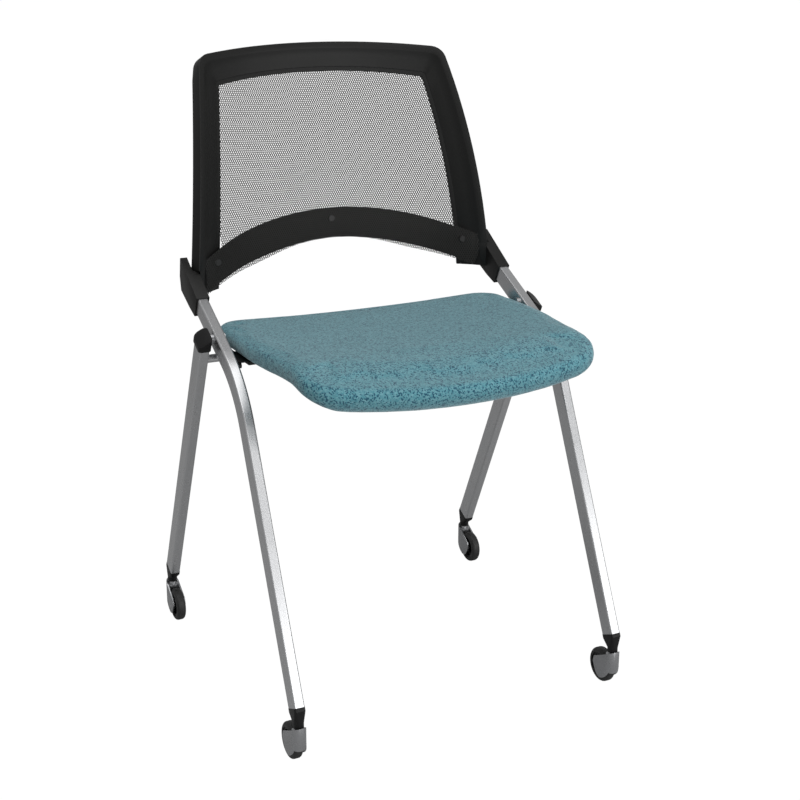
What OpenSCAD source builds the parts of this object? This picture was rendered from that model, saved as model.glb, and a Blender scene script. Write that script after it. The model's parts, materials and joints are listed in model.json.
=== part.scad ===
// Nesting chair with a flip-up upholstered seat, a double-curved mesh back and four swivel casters.
// Millimetres. Z is up, the front of the chair faces -Y, +X is the sitter's left.
// The origin lies on the floor, under the middle of the chair.

/* [Frame tube] */
// Depth of the flat tube, front to back
tube_d = 27; // [23:0.5:32]
// Width of the flat tube, side to side
tube_w = 14.2; // [13:0.1:18]
// Wall of the tube
tube_wall = 1.8; // [1.2:0.1:2.4]
// Corner radius at the tube's flat front
tube_front_r = 2.5; // [1.5:0.1:4]
// Corner radius at the tube's back
tube_back_r = 5.5; // [3:0.1:6]
// Bend radius of the front tube, at its front face
bend_r = 165; // [120:1:190]

/* [Frame layout] */
// Space between a front tube and the rear leg beside it
leg_gap = 5.6; // [4.5:0.1:8]
// Slope of the upper part of the front tube
rise_angle = 25.5; // [22:0.5:29]
// Slope of the front leg
leg_angle = 64.1; // [60:0.5:68]
// Length of the front leg, from its foot to the corner of its front face
front_leg_l = 408.5; // [380:1:430]
// Length of the upper part, from that corner to the back bracket
rise_l = 166.6; // [155:0.5:180]
// Distance from that corner to the axis of the rear leg
cross_at = 100.6; // [92:0.5:110]
// Distance that the front leg's foot lies ahead of the reference line
front_reach = 250; // [230:1:270]

/* [Rear leg cap] */
// Wall of the cap on the top of a rear leg
top_cap_wall = 1.8; // [1.4:0.1:2.4]
// Distance from the front tube's face to the cap's inner top edge
top_cap_drop = 3.3; // [2:0.1:5]
// Length of the cap along the leg
top_cap_l = 19; // [17:0.5:24]
// Slope of the cap's top, falling outwards
top_cap_slope = 35; // [28:1:40]

/* [Frame fasteners] */
// Diameter of the bolt that joins a tube and a leg
frame_bolt_d = 8; // [6:0.5:9]
// Head diameter of that bolt
frame_bolt_head_d = 14; // [12:0.5:16]
// Head height of that bolt
frame_bolt_head_h = 3; // [2:0.25:4]
// Diameter of the spacer round it
spacer_d = 14; // [12:0.5:15]

/* [Seat hinge] */
// Diameter of the cross tube on which the seat turns
pivot_d = 11; // [9:0.5:12]
// Wall of the cross tube
pivot_wall = 1.5; // [1:0.1:2.5]
// Distance from the front tube's underside down to the cross tube's axis
pivot_drop = 14.9; // [13:0.1:17]
// Distance of that axis ahead of the rear leg's centre line
pivot_ahead = 6.3; // [4:0.1:8]
// Running clearance of the hinge, on the radius
hinge_fit = 0.05; // [0.02:0.01:0.1]
// Wall of the hinge bush
bush_wall = 1.2; // [0.8:0.1:1.6]
// Wall of the hinge barrel round the bush
barrel_wall = 1.7; // [1.2:0.1:2]
// Width of a hinge arm
arm_w = 9; // [7:0.5:12]
// Length of a hinge arm ahead of the cross tube
arm_l = 66; // [60:1:85]
// Width of the hinge plate under the seat board
plate_w = 44; // [35:1:60]
// Thickness of the hinge plate
plate_t = 4; // [3:0.1:4.5]
// Diameter of the stop pin
stop_d = 8; // [6:0.5:9]
// Shank diameter of the stop pin, in the tube
stop_shank_d = 4.8; // [3.5:0.1:5.5]
// Distance of the stop pin's contact ahead of the cross tube
stop_ahead = 47; // [42:1:55]

/* [Seat] */
// Width of the seat cushion at its rear
seat_w = 433; // [420:1:450]
// Narrowing of the cushion towards its front, at each side
seat_narrow = 12; // [6:0.5:20]
// Space between the cushion and the front tube beside it
seat_side_gap = 5.9; // [5:0.1:8]
// Depth of the seat cushion
seat_d = 358; // [340:1:375]
// Distance that the cushion reaches behind the cross tube
seat_behind = 62.7; // [55:0.5:70]
// Height of the cushion's top above the cross tube
seat_top = 37.3; // [36:0.1:42]
// Thickness of the cushion
seat_t = 30; // [28:0.5:31]
// Thickness of the cushion at its front
seat_front_t = 34; // [30:0.5:38]
// Slope of the seat, rising forwards
seat_tilt = 1.54; // [0:0.1:3]
// Drop of the front edge
seat_fall = 18.5; // [10:0.5:25]
// Length over which the front edge drops
seat_fall_l = 101; // [80:1:120]
// Depth of the dish across the rear
seat_dish_rear = 6; // [2:0.5:8]
// Depth of the dish across the front
seat_dish_front = 8; // [4:0.5:11]
// Bow of the rear edge
seat_rear_bow = 2; // [1:0.5:8]
// Bow of the front edge
seat_bow = 35; // [20:1:45]
// Plan radius of the rear corners
seat_rear_r = 40; // [25:1:55]
// Plan radius of the front corners
seat_front_r = 52; // [35:1:60]
// Rounding of the cushion's top edge
seat_round = 10; // [6:0.5:14]
// Distance that the cushion's side draws in at the bottom
seat_tuck = 16; // [12:0.5:20]
// Distance that the cushion's front draws in at the bottom
seat_front_tuck = 28; // [20:0.5:32]
// Width of the fabric turned under the seat board, past the drawn-in side
seat_hem = 6; // [4:0.5:10]
// Thickness of the seat board
board_t = 5; // [4:0.5:6]

/* [Back] */
// Height of the lumbar above the bracket's front corner
lumbar_up = 15.2; // [10:0.5:20]
// Distance of the rails' surface behind that corner, at the lumbar
lumbar_back = 64.2; // [60:0.5:70]
// Radius of the back in side view
back_r = 654; // [620:2:690]
// Depth of the back's hollow in plan, across the window at the lumbar
back_sag = 34.7; // [26:0.5:42]
// Distance of the window's side from the front tube, at the lumbar
window_inset = 37.8; // [36:0.1:42]
// Lean of the window's side inwards, up to its top
window_lean = 30.8; // [22:0.5:38]
// Outward bow of the window's side
window_bow = 2.6; // [0:0.1:4]
// Length of the window's side above the lumbar
window_l = 276.6; // [262:0.5:290]
// Height of the window's top above the lumbar, at the middle, along the curve
window_top = 286.3; // [275:0.5:300]
// Fall of the window's top towards its corners
window_fall = 23.4; // [16:0.5:31]
// Width of the rail's front at the sides
rail_w = 38.9; // [34:0.5:39.5]
// Narrowing of the rail's front, up to its top
rail_narrow = 4.1; // [0:0.5:8]
// Width of the rail's front at the top
rail_top_w = 40.6; // [35:0.5:46]
// Fall of the rim's top towards its corners
rim_fall = 32; // [23:0.5:40]
// Height of the rim in front of the window's edge
rim_h = 11.2; // [8:0.2:13]
// Corner radius of the window
window_r = 4; // [2:0.5:8]
// Corner radius of the rim
rim_r = 24; // [14:0.5:30]
// Length of the rails below the lumbar
rail_below = 20; // [15:0.5:23]

/* [Back band] */
// Top of the band above the lumbar, at the middle
band_top = 76.8; // [68:0.5:86]
// Fall of the band's top edge towards the sides
band_top_fall = 41; // [32:0.5:47]
// Bottom of the band above the lumbar, at the middle
band_low = 31.6; // [26:0.5:40]
// Fall of the band's lower edge towards the sides
band_low_fall = 52; // [45:0.5:54]
// Thickness of the band
band_t = 5; // [4:0.5:6]
// Thickness of the mesh
mesh_t = 0.9; // [0.7:0.1:1.1]
// Distance that the mesh hangs below the band towards its ends
mesh_fringe = 5; // [3:0.5:8]

/* [Back bracket] */
// Length of the bracket along the tube
bracket_l = 80.4; // [74:0.5:90]
// Wall of the bracket beside the tube
bracket_wall = 1.9; // [1.5:0.1:2.4]
// Length of tube inside the bracket
socket_l = 38; // [30:1:42]
// Height of the bracket's inner edge above the lumbar
bracket_lip = 13; // [9:0.5:17]

/* [Small screws] */
// Diameter of the back and seat screws
screw_d = 5; // [4:0.25:5.5]
// Head diameter of those screws
screw_head_d = 9; // [8:0.25:10]
// Head height of those screws
screw_head_h = 2.5; // [1.5:0.25:3]

/* [Casters] */
// Wheel diameter
wheel_d = 47.4; // [45:0.1:50]
// Wheel width
wheel_w = 13.6; // [13:0.1:15]
// Edge rounding of the tyre
tread_r = 4.5; // [3:0.5:6]
// Thickness of the tyre
tyre_t = 6.5; // [6:0.5:8]
// Distance of the axle behind the swivel axis
trail = 22; // [20:0.1:24]
// Space between the wheel and each cheek
cheek_gap = 0.6; // [0.5:0.1:1]
// Thickness of the hood
hood_t = 2.2; // [1.6:0.1:2.6]
// Height of the hood's upper edge above the axle
hood_h = 32; // [30:0.5:34]
// Height of the hood's closed end, from its lower edge to its upper one
hood_end_h = 25.5; // [23:0.5:28]
// Axle diameter
axle_d = 5; // [4:0.25:6]
// Stem diameter
stem_d = 7; // [6:0.25:8]
// Length of the stem inside the leg's end cap
stem_l = 20; // [15:0.5:22]
// Thickness of the stem's collar
collar_t = 3.7; // [3:0.1:5]
// Height of the hood's web above the axle
web_h = 26; // [24.5:0.5:27]
// Diameter of the end cap's round bottom
foot_d = 14; // [12.5:0.1:14]
// Height of the front end cap, from its bottom to the tube's front corner
front_cap_h = 29.5; // [27:0.5:34]
// Height of the rear end cap, from its bottom to the tube's centre line
rear_cap_h = 24.2; // [22:0.5:28]

/* [Hidden] */
$fn = 48;
// Space left between parts that don't move on each other
seat_gap = 0.3;
// Space between a shaft, pin or plug and the hole that holds it still
fit = 0.08;
// Overrun of every cut, and of pieces that run into each other
over = 1;
// Step between a tube's bend and its straight runs
seam = 0.01;
// Space between the wheel and the hood's web
web_gap = 1.5;

// Points in the side view are [y, z]. Along the rise is back and up, and square to it is forward and up.
rise_dir = [cos(rise_angle), sin(rise_angle)];
rise_up = [-sin(rise_angle), cos(rise_angle)];
leg_up = [-sin(leg_angle), cos(leg_angle)];
foot_bottom_z = wheel_d / 2 + web_h + collar_t + seat_gap;
front_foot = [-front_reach, foot_bottom_z + front_cap_h];
knee = front_foot + front_leg_l * [cos(leg_angle), sin(leg_angle)];
bend_tangent = bend_r * tan((leg_angle - rise_angle) / 2);
bend_centre = knee + bend_tangent * rise_dir - bend_r * rise_up;

// The cushion sets how far apart the front tubes stand, and they carry the back.
front_span = seat_w + 2 * seat_side_gap + tube_w;
seat_front_w = seat_w - 2 * seat_narrow;

// The rear leg stands square to the rise.
cross_top = knee + cross_at * rise_dir;
rear_leg_l = (cross_top[1] - foot_bottom_z - rear_cap_h) / cos(rise_angle);
rear_foot = cross_top - rear_leg_l * rise_up;
front_x = front_span / 2;
rear_x = front_x + tube_w + leg_gap;
tube_inner_x = front_x - tube_w / 2;
tube_outer_x = front_x + tube_w / 2;
leg_inner_x = rear_x - tube_w / 2;
frame_bolt_yz = cross_top - tube_d / 2 * rise_up;

// Seat hinge. Points of the arm are shares of its length and of the barrel's radius.
pivot_yz = cross_top - (tube_d + pivot_drop) * rise_up - pivot_ahead * rise_dir;
bush_r = pivot_d / 2 + hinge_fit + bush_wall;
barrel_r = bush_r + fit + barrel_wall;
arm_x = seat_w / 2 - seat_gap - arm_w;
arm_shares = [[0, -1], [-0.18, -0.57], [-0.41, -0.035], [-1, 0.86], [-1, 1], [0, 1]];
arm_points = [for (p = arm_shares) [p[0] * arm_l, p[1] * barrel_r]];
stop_slope = atan((arm_points[3][1] - arm_points[2][1]) / (arm_points[2][0] - arm_points[3][0]));
stop_touch = [-stop_ahead, arm_points[2][1] + (stop_ahead + arm_points[2][0]) * tan(stop_slope)];
stop_uv = stop_touch - (stop_d / 2 + seat_gap) * [sin(stop_slope), cos(stop_slope)];

// Seat, in its own frame: x across, u backwards and v up from the cross tube's axis
seat_low = seat_top - seat_t;
seat_front_u = seat_behind - seat_d;
narrow_shares = [0.37, 0.735];
seat_narrow_from = seat_behind - seat_d * narrow_shares[0];
seat_narrow_to = seat_behind - seat_d * narrow_shares[1];

// Casters
axle_z = wheel_d / 2;
web_z = axle_z + web_h;
foot_set_share = 0.25;
front_stem_y = -front_reach + tube_front_r + foot_d * foot_set_share;
rear_stem_y = rear_foot[0] + tube_back_r;
hood_inner_r = wheel_w / 2 + cheek_gap;
hood_r = hood_inner_r + hood_t;

// Back. It is a saddle: an arc in side view and a hollow in plan. back_point takes x, the length s
// along the side arc from the lumbar level, and the depth d in front of the surface.
bracket_front = knee + rise_l * rise_dir;
lumbar_z = bracket_front[1] + lumbar_up;
back_y = bracket_front[0] + lumbar_back + back_r;
bracket_inner_x = tube_inner_x - bracket_wall;
bracket_outer_x = tube_outer_x + bracket_wall;
window_low = tube_inner_x - window_inset;
window_high = window_low - window_lean;
function back_radius(x) = back_r - back_sag * (1 - pow(x / window_low, 2));
function back_angle(s) = s / back_r * 180 / PI;
function back_point(x, s, d) =
    let (r = back_radius(x) + d)
    [x, back_y - r * cos(back_angle(s)), lumbar_z + r * sin(back_angle(s))];

// The rim's outer wall leans outwards at the sides and less so at the top, s along the back's arc.
wall_fade_shares = [0.95, 1.12, 0.8];
function wall_share(share, s) =
    let (t = smooth((s / window_l - wall_fade_shares[0]) / (wall_fade_shares[1] - wall_fade_shares[0])))
    share > 1 ? mix(share, 1, wall_fade_shares[2] * t) : share;

// The middle of the chair's length lies between the cushion's front and the back's rear top edge.
rear_share = [1.12, -0.73];
rear_reach = rail_top_w * wall_share(rear_share[0], window_top + rail_top_w);
rear_edge = back_point(0, window_top + rear_reach, rim_h * rear_share[1]);
front_v = seat_top - seat_fall - seat_round;
front_edge_y = pivot_yz[0] + seat_front_u * cos(seat_tilt) + front_v * sin(seat_tilt);
origin_y = (rear_edge[1] + front_edge_y) / 2;

function smooth(t) = let (c = min(max(t, 0), 1)) c * c * (3 - 2 * c);
function mix(a, b, t) = a + (b - a) * t;

// Round a corner at c, from heading a0 to heading a1, in n steps
function round_corner(c, a0, a1, r, n) =
    let (side = sign(a1 - a0), p = c - r * tan(abs(a1 - a0) / 2) * [cos(a0), sin(a0)])
    let (o = p + side * r * [-sin(a0), cos(a0)])
    [for (i = [0:n]) let (a = mix(a0, a1, i / n)) o + side * r * [sin(a), -cos(a)]];

// Skin over closed rings of points, each with the same even number of points. An end is closed by a
// strip of faces between the first and the second half of its ring.
module skin(rings, flip = false) {
    n = len(rings[0]);
    last = len(rings) - 1;
    sides = [for (k = [0:last - 1]) for (i = [0:n - 1])
        let (a = k * n + i, b = k * n + (i + 1) % n, c = b + n, d = a + n)
        each [[a, b, c], [a, c, d]]];
    strip = [for (i = [0:n / 2 - 2]) each [[i, n - 1 - i, i + 1], [i + 1, n - 1 - i, n - 2 - i]]];
    far = [for (f = strip) [f[0], f[2], f[1]] + last * n * [1, 1, 1]];
    faces = concat(sides, strip, far);
    polyhedron(
        points = [for (ring = rings) each ring],
        faces = flip ? [for (f = faces) [f[0], f[2], f[1]]] : faces,
        convexity = 6);
}

module placed() {
    translate([0, -origin_y, 0]) children();
}

// Draws in the side view, [y, z], and extrudes along x.
module side_view() {
    rotate([90, 0, 90]) children();
}

module mirrored(right) {
    placed() mirror([right ? 1 : 0, 0, 0]) children();
}

module both_sides() {
    placed() {
        children();
        mirror([1, 0, 0]) children();
    }
}

// A shaft along x, from x0 to x1, at a point of the side view
module cross_shaft(yz, d, x0, x1) {
    translate([x0, yz[0], yz[1]]) rotate([0, 90, 0]) cylinder(d = d, h = x1 - x0);
}

// Flat tube section: its front face on the y axis, its depth towards -x
module tube_section(grow = 0) {
    w = tube_w + 2 * grow;
    rf = max(tube_front_r + grow, tube_front_r / 4);
    rb = max(tube_back_r + grow, tube_back_r / 4);
    translate([grow - tube_d - 2 * grow, -w / 2]) {
        translate([rb, 0]) square([tube_d + 2 * grow - rf - rb, w]);
        translate([0, rb]) square([rb, w - 2 * rb]);
        translate([tube_d + 2 * grow - rf, rf]) square([rf, w - 2 * rf]);
        for (y = [0, 1]) {
            translate([rb, mix(rb, w - rb, y)]) circle(r = rb);
            translate([tube_d + 2 * grow - rf, mix(rf, w - rf, y)]) circle(r = rf);
        }
    }
}

// A straight run of the section from a point of the side view: heading is the direction in which its
// front face looks, and it runs from a to b, counted a quarter turn on from that heading.
module tube_run(p, heading, a, b, grow = 0) {
    translate(p) rotate([0, 0, heading]) rotate([90, 0, 0])
        translate([0, 0, -b]) linear_extrude(b - a) tube_section(grow);
}

// The straight runs reach a little into the bend, and are finer than it by the seam.
module front_tube_solid(grow, ends) {
    tube_run(bend_centre + bend_r * rise_up, 90 + rise_angle,
        -(rise_l + socket_l - bend_tangent + ends), over, grow - seam);
    tube_run(bend_centre + bend_r * leg_up, 90 + leg_angle,
        -over, front_leg_l - bend_tangent + ends, grow - seam);
    translate(bend_centre) rotate([0, 0, 90 + rise_angle])
        rotate_extrude(angle = leg_angle - rise_angle, $fn = 96)
            translate([bend_r, 0]) tube_section(grow);
}

module front_tube(right) {
    color("silver") mirrored(right) difference() {
        translate([front_x, 0, 0]) side_view() difference() {
            front_tube_solid(0, 0);
            front_tube_solid(-tube_wall, over);
        }
        cross_shaft(frame_bolt_yz, frame_bolt_d + 2 * fit, tube_inner_x - over, tube_outer_x + over);
        seat_frame() cross_shaft(stop_uv, stop_shank_d + 2 * fit, tube_inner_x - over, front_x);
    }
}

// The rear leg's top is cut on a slope under its cap. The slope's profile is drawn from above the leg
// down its axis and across, and grow moves it off the leg.
leg_top_in = top_cap_drop + top_cap_wall / cos(top_cap_slope);
module leg_frame() {
    translate([rear_x, 0, 0]) side_view() translate(cross_top + tube_d / 2 * -rise_dir)
        rotate([0, 0, 180 + rise_angle]) rotate([90, 0, 0]) mirror([0, 0, 1]) children();
}
module below_slope(drop, length) {
    w = tube_w / 2 + top_cap_wall;
    reach = (2 * w + over) * tan(top_cap_slope);
    rotate([0, -90, 0]) translate([0, 0, -tube_d]) linear_extrude(3 * tube_d) polygon([
        [drop, -w],
        [drop + reach, w + over],
        [length, w + over],
        [length, -w - over],
        [drop - over * tan(top_cap_slope), -w - over]
    ]);
}
module rear_leg(right) {
    color("silver") mirrored(right) difference() {
        leg_frame() intersection() {
            linear_extrude(rear_leg_l) difference() {
                tube_section();
                tube_section(-tube_wall);
            }
            below_slope(leg_top_in, rear_leg_l + over);
        }
        cross_shaft(frame_bolt_yz, frame_bolt_d + 2 * fit, leg_inner_x - over, rear_x);
    }
}

module leg_top_cap(right) {
    color("dimgray") mirrored(right) difference() {
        leg_frame() difference() {
            intersection() {
                linear_extrude(top_cap_drop + top_cap_l) tube_section(top_cap_wall);
                below_slope(top_cap_drop, rear_leg_l);
            }
            intersection() {
                linear_extrude(top_cap_drop + top_cap_l + over) tube_section(fit);
                below_slope(leg_top_in - fit, rear_leg_l);
            }
        }
        cross_shaft(frame_bolt_yz, spacer_d + 4 * fit, tube_outer_x, leg_inner_x + fit);
    }
}

module frame_spacers() {
    color("silver") both_sides() difference() {
        cross_shaft(frame_bolt_yz, spacer_d, tube_outer_x, leg_inner_x);
        cross_shaft(frame_bolt_yz, frame_bolt_d + 2 * fit, tube_outer_x - over, leg_inner_x + over);
    }
}

module frame_bolts() {
    color("gainsboro") both_sides() {
        cross_shaft(frame_bolt_yz, frame_bolt_d, tube_inner_x, leg_inner_x + tube_wall + over);
        cross_shaft(frame_bolt_yz, frame_bolt_head_d, tube_inner_x - frame_bolt_head_h, tube_inner_x);
    }
}

module pivot_tube() {
    color("silver") placed() difference() {
        cross_shaft(pivot_yz, pivot_d, -leg_inner_x, leg_inner_x);
        cross_shaft(pivot_yz, pivot_d - 2 * pivot_wall, -leg_inner_x - over, leg_inner_x + over);
    }
}

module stop_pins() {
    color("black") placed() seat_frame() for (m = [0, 1]) mirror([m, 0, 0]) {
        cross_shaft(stop_uv, stop_d, arm_x + arm_w / 2, tube_inner_x);
        cross_shaft(stop_uv, stop_shank_d, tube_inner_x, tube_inner_x + 2 * tube_wall);
    }
}

// The seat's own frame, with its origin on the cross tube's axis
module seat_frame() {
    translate([0, pivot_yz[0], pivot_yz[1]]) rotate([-seat_tilt, 0, 0]) children();
}

function seat_half(u) =
    mix(seat_w, seat_front_w, smooth((seat_narrow_from - u) / (seat_narrow_from - seat_narrow_to))) / 2;
function seat_side_outline() =
    let (w = seat_w / 2, wf = seat_front_w / 2, rear_slope = atan(2 * seat_rear_bow / w))
    let (rear = round_corner([w, seat_behind - seat_rear_bow], -rear_slope, -90, seat_rear_r, 6))
    let (front = round_corner([wf, seat_front_u + seat_bow], -90, -180 + atan(2 * seat_bow / wf),
        seat_front_r, 8))
    let (a = rear[6][1], b = front[0][1], x = front[8][0])
    concat(
        [for (i = [0:3]) let (t = i / 4) [rear[0][0] * t, mix(seat_behind, rear[0][1], t * t)]],
        rear,
        [for (i = [1:9]) let (u = mix(a, b, i / 10)) [seat_half(u), u]],
        front,
        [for (i = [1:6]) let (t = 1 - i / 6) [x * t, seat_front_u + (front[8][1] - seat_front_u) * t * t]]
    );
function seat_outline() =
    let (side = seat_side_outline(), n = len(side))
    concat(side, [for (i = [n - 2:-1:1]) [-side[i][0], side[i][1]]]);
function edge_normal(p, i) =
    let (n = len(p), t = p[(i + 1) % n] - p[(i + n - 1) % n])
    [-t[1], t[0]] / norm(t);
function front_part(p, i) = pow(max(-edge_normal(p, i)[1], 0), 2);
function tuck_in(p, i) = mix(seat_tuck, seat_front_tuck, max(-edge_normal(p, i)[1], 0));

// Edge of the seat board, moved out by the given amount
function board_outline(grow) =
    let (p = seat_outline())
    [for (i = [0:len(p) - 1]) p[i] - (tuck_in(p, i) + seat_hem - grow) * edge_normal(p, i)];

function seat_drop(u) = seat_fall * smooth((seat_front_u + seat_fall_l - u) / seat_fall_l);
function seat_dish(x, u) =
    let (c = max(1 - pow(2 * x / seat_w, 2), 0), f = (seat_behind - u) / seat_d)
    c * mix(seat_dish_rear, seat_dish_front, f);
function seat_sink(x, u) = seat_drop(u) * (1 + seat_dish(x, u) / seat_fall);
function seat_top_v(x, u) = seat_top - seat_drop(u) - seat_dish(x, u);

// Rings of the cushion from the recess for the board, round the side and over the top
crown_shares = [0.84, 0.62, 0.36, 0.02];
flank_share = 0.7;
function flank_power(p, i) =
    mix(mix(1, flank_share, smooth(-(p[i][1] + arm_l) / arm_l)), 1, front_part(p, i));
module seat_cushion() {
    p = seat_outline();
    n = len(p);
    normals = [for (i = [0:n - 1]) edge_normal(p, i)];
    thick = [for (i = [0:n - 1]) mix(seat_t, seat_front_t, front_part(p, i))];
    crown = (p[0] + p[n / 2]) / 2;
    inner = board_outline(seat_gap);
    recess = [for (q = inner) [q[0], q[1], seat_low + board_t + seat_gap - seat_sink(q[0], q[1])]];
    hem = [for (i = [0:n - 1]) let (q = inner[i])
        [q[0], q[1], seat_top - thick[i] - seat_sink(q[0], q[1])]];
    low = [for (k = [0:4]) let (a = 90 - 18 * k) [for (i = [0:n - 1])
        let (e = flank_power(p, i), out = pow(max(cos(a), 0), e), down = pow(sin(a), e))
        let (q = p[i] - tuck_in(p, i) * (1 - out) * normals[i])
        [q[0], q[1], seat_top - seat_sink(p[i][0], p[i][1]) - seat_round - (thick[i] - seat_round) * down]]];
    high = [for (k = [0:4]) let (a = 22.5 * k) [for (i = [0:n - 1])
        let (q = p[i] - seat_round * (1 - cos(a)) * normals[i])
        [q[0], q[1], seat_top_v(q[0], q[1]) - seat_round * (1 - sin(a))]]];
    top = [for (share = crown_shares) [for (i = [0:n - 1])
        let (q = mix(crown, p[i], share))
        [q[0], q[1], seat_top_v(q[0], q[1])]]];
    color("cadetblue") placed() seat_frame() skin(concat([recess, hem], low, high, top));
}

module seat_board() {
    edge = board_outline(0);
    color("dimgray") placed() seat_frame() skin([
        for (v = [seat_low, seat_low + board_t]) [for (q = edge) [q[0], q[1], v - seat_sink(q[0], q[1])]]
    ]);
}

plate_x = arm_x - plate_w;
plate_v = seat_low - seat_gap - plate_t;
plate_rear_u = -pivot_d / 2 - barrel_wall * 2;
web_l_share = 0.6;
bite_share = 0.8;
screw_shares = [[0.2, 0.15], [0.2, 0.85], [0.5, 0.5]];
screw_spots = [for (p = screw_shares) [plate_x + p[0] * plate_w, mix(-arm_l, plate_rear_u, p[1])]];
module seat_hinge(right) {
    color("dimgray") placed() seat_frame() mirror([right ? 1 : 0, 0, 0]) difference() {
        union() {
            cross_shaft([0, 0], 2 * barrel_r, arm_x, arm_x + arm_w);
            translate([arm_x, 0, 0]) side_view() linear_extrude(arm_w) polygon(arm_points);
            translate([plate_x, -arm_l, plate_v]) cube([plate_w, arm_l + plate_rear_u, plate_t]);
            translate([plate_x + plate_w - over, -arm_l * web_l_share, plate_v])
                cube([arm_w / 2 + over, arm_l * web_l_share + plate_rear_u, plate_t]);
        }
        cross_shaft([0, 0], 2 * bush_r + 2 * fit, arm_x - over, arm_x + arm_w + over);
        for (p = screw_spots) translate([p[0], p[1], plate_v - over])
            cylinder(d = screw_d + 2 * fit, h = plate_t + 2 * over);
    }
}

module hinge_bushes() {
    color("white") placed() seat_frame() for (m = [0, 1]) mirror([m, 0, 0]) difference() {
        cross_shaft([0, 0], 2 * bush_r, arm_x, arm_x + arm_w);
        cross_shaft([0, 0], pivot_d + 2 * hinge_fit, arm_x - over, arm_x + arm_w + over);
    }
}

module hinge_screws() {
    color("gainsboro") placed() seat_frame() for (m = [0, 1]) mirror([m, 0, 0])
        for (p = screw_spots) translate([p[0], p[1], plate_v - screw_head_h]) {
            cylinder(d = screw_head_d, h = screw_head_h);
            cylinder(d = screw_d, h = screw_head_h + plate_t + seat_gap + board_t * bite_share);
        }
}

// The window's edge and the rim's edge, each as its side and its head
window_side = function (s) let (t = s / window_l)
    mix(window_low, window_high, t) + 4 * window_bow * t * (1 - t);
window_head = function (x) window_top - window_fall * pow(x / window_high, 2);
rim_side = function (s) window_side(s) + rail_w - rail_narrow * s / window_l;
rim_head = function (x) window_top + rail_top_w - rim_fall * pow(x / (window_high + rail_w), 2);
function meet(side, head, x, turns) = turns == 0 ? [x, head(x)] : meet(side, head, side(head(x)), turns - 1);

// Half an edge, from the rail's low end up its side, round the corner and along the head to the middle
side_steps = 13;
head_steps = 9;
corner_steps = 5;
lip_share = 0.5;
function half_edge(side, head, r) =
    let (c = meet(side, head, window_high, 6), h = rail_w / 40)
    let (a0 = atan2(h, side(c[1]) - side(c[1] - h)), a1 = atan2(head(c[0] - h) - head(c[0]), -h))
    let (turn = round_corner(c, a0, a1, r, corner_steps), top = turn[0][1])
    let (lip = bracket_lip + seat_gap)
    concat(
        [for (s = [-rail_below, lip - seat_gap * lip_share, lip + seat_gap * lip_share]) [side(s), s]],
        [for (i = [1:side_steps]) let (s = mix(lip, top, i / (side_steps + 1))) [side(s), s]],
        turn,
        [for (i = [1:head_steps]) let (x = turn[corner_steps][0] * (1 - i / head_steps)) [x, head(x)]]
    );
function whole_edge(half) =
    let (n = len(half))
    concat(half, [for (i = [n - 2:-1:0]) [-half[i][0], half[i][1]]]);

// Section of the rail: shares of its width, out from the window, and of the rim's height
rail_shares = [
    [0, 0], [0.13, 0.03], [0.15, 0.1], [0.48, 0.4], [0.68, 0.75], [0.75, 0.95], [0.775, 1], [0.975, 1.09],
    [1, 1.04], [1.155, -0.52], rear_share, [0.6, -0.91], [0.3, -0.83], [0.08, -0.53], [0, -0.27], [0, -0.12]
];
rail_wall_x = mix(window_side(bracket_lip), rim_side(bracket_lip), rail_shares[9][0]);
module back_frame() {
    inner = whole_edge(half_edge(window_side, window_head, window_r));
    outer = whole_edge(half_edge(rim_side, rim_head, rim_r));
    limit = bracket_inner_x - seat_gap;
    rings = [for (k = [0:len(inner) - 1]) [for (p = rail_shares)
        let (q = mix(inner[k], outer[k], wall_share(p[0], outer[k][1])), low = q[1] < bracket_lip + seat_gap)
        back_point(low ? sign(q[0]) * min(abs(q[0]), limit) : q[0], q[1], p[1] * rim_h)]];
    color("#202020") placed() skin(rings, true);
}

// The mesh lies just inside the window's edge. Over the band's ends it comes forward on to the rails.
mesh_inset_share = 0.05;
ramp_shares = [0.735, 0.71, 0.91];
mesh_inset = rim_h * mesh_inset_share;
ramp_from = window_low * ramp_shares[0];
ramp_to = window_low + rail_w * ramp_shares[1];
function band_top_s(x) = band_top - band_top_fall * pow(x / window_low, 2);
low_power = 1.7;
function band_low_s(x) = band_low - band_low_fall * pow(abs(x) / ramp_to, low_power);
function ramp(x) = smooth((abs(x) - ramp_from) / (ramp_to - ramp_from));
function band_depth(x) = -mesh_inset - mesh_t - seat_gap + (rim_h * ramp_shares[2] + mesh_t) * ramp(x);
function mesh_depth(x, s) =
    let (above = smooth((s - band_top_s(x) - seat_gap) / band_low))
    mix(band_depth(x) + seat_gap, -mesh_inset - mesh_t, above);

band_end_share = 0.57;
band_thin_share = 0.62;
crowd_share = 0.25;
band_steps = 18;
band_end = window_low + rail_w * band_end_share;
module back_band() {
    stations = [for (i = [-band_steps:band_steps]) let (t = i / band_steps)
        band_end * t * (1 + crowd_share * (1 - abs(t)))];
    rings = [for (x = stations)
        let (thin = band_t * (1 - band_thin_share * smooth((abs(x) - window_low) / (band_end - window_low))))
        let (f = band_depth(x), low = band_low_s(x), top = band_top_s(x))
        [
            for (t = [0, 0.5, 1]) back_point(x, mix(low, top, t), f),
            for (t = [1, 0.5, 0]) back_point(x, mix(low, top, t), f - thin)
        ]];
    color("#302a26") placed() skin(rings);
}

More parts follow.
